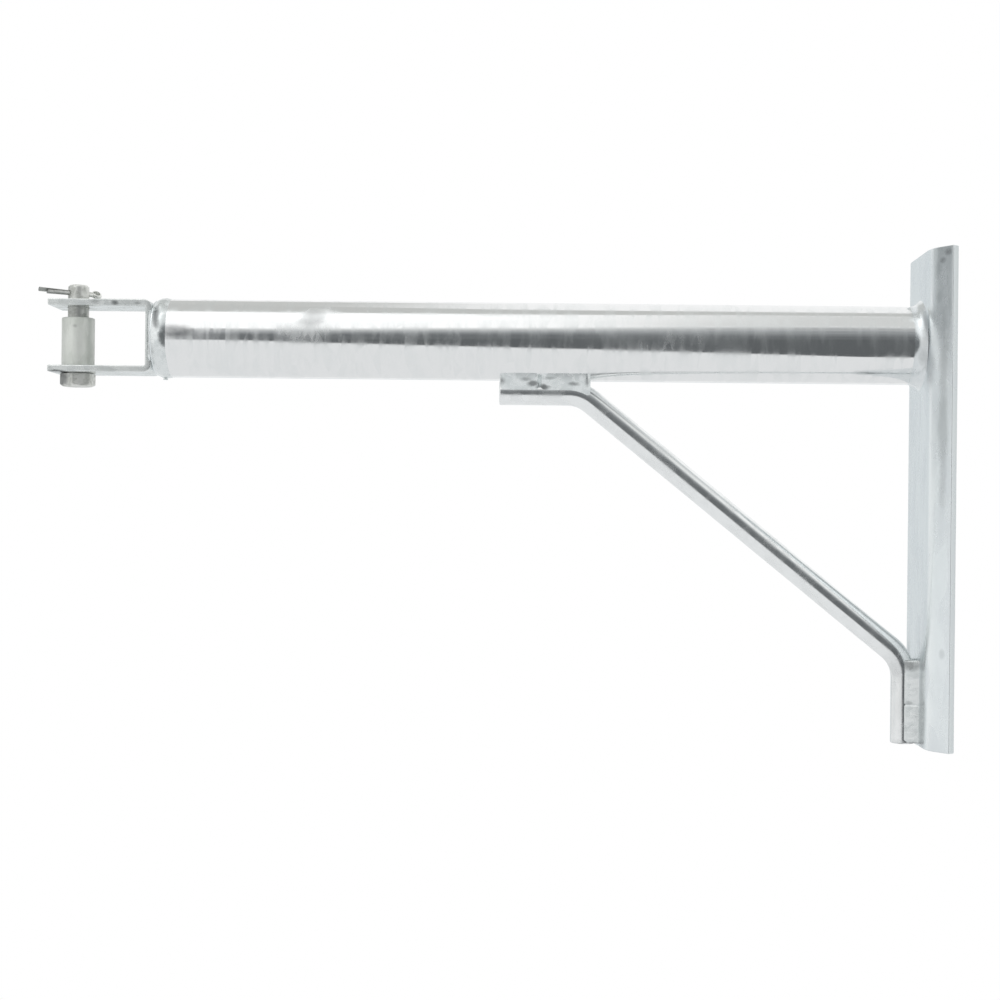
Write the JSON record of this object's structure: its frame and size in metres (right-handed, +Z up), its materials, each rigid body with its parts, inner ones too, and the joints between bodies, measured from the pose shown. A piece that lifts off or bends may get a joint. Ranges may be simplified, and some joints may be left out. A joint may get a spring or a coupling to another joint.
{
  "type": "fibre optic extension arm",
  "caption": "Welded galvanised steel arm with a brace and pole plate, and a clevis with a pin and a loose sleeve that holds an aerial cable fitting away from a pole.",
  "frame": {"origin": "on the arm tube's axis, in the plane where the pole plate's two wings meet the pole", "axes": "+X from the arm into the pole, so the arm points along -X; +Z up the pole; +Y to the far side"},
  "size_m": [0.6985, 0.1174, 0.38],
  "materials": {
    "galvanised_tube": "hot-dip galvanised tube, bright",
    "galvanised_plate": "hot-dip galvanised plate, bright",
    "galvanised_bar": "hot-dip galvanised round bar",
    "galvanised_weld": "hot-dip galvanised weld bead",
    "galvanised_pin": "galvanised pin, duller",
    "dull_zinc_sleeve": "dull zinc on a cut tube",
    "split_pin_wire": "zinc plated wire"
  },
  "bodies": {
    "arm": {"arm_tube": "galvanised_tube", "tube_end_cap": "galvanised_plate", "pole_plate": "galvanised_plate", "brace_bar": "galvanised_bar", "clevis_strap": "galvanised_plate", "tube_to_plate_weld": "galvanised_weld", "cap_to_tube_weld": "galvanised_weld", "strap_weld_near": "galvanised_weld", "strap_weld_far": "galvanised_weld", "brace_to_tube_weld_near": "galvanised_weld", "brace_to_tube_weld_far": "galvanised_weld", "brace_to_plate_weld_near": "galvanised_weld", "brace_to_plate_weld_far": "galvanised_weld"},
    "pin": {"clevis_pin": "galvanised_pin", "split_pin": "split_pin_wire"},
    "sleeve": {"pin_sleeve": "dull_zinc_sleeve"}
  },
  "joints": [
    {"name": "pin_turn", "type": "hinge", "parent": "arm", "child": "pin", "pos_m": [-0.6725, 0, 0], "axis": [0, 0, 1], "continuous": true},
    {"name": "sleeve_turn", "type": "hinge", "parent": "arm", "child": "sleeve", "pos_m": [-0.6725, 0, 0], "axis": [0, 0, 1], "continuous": true}
  ]
}
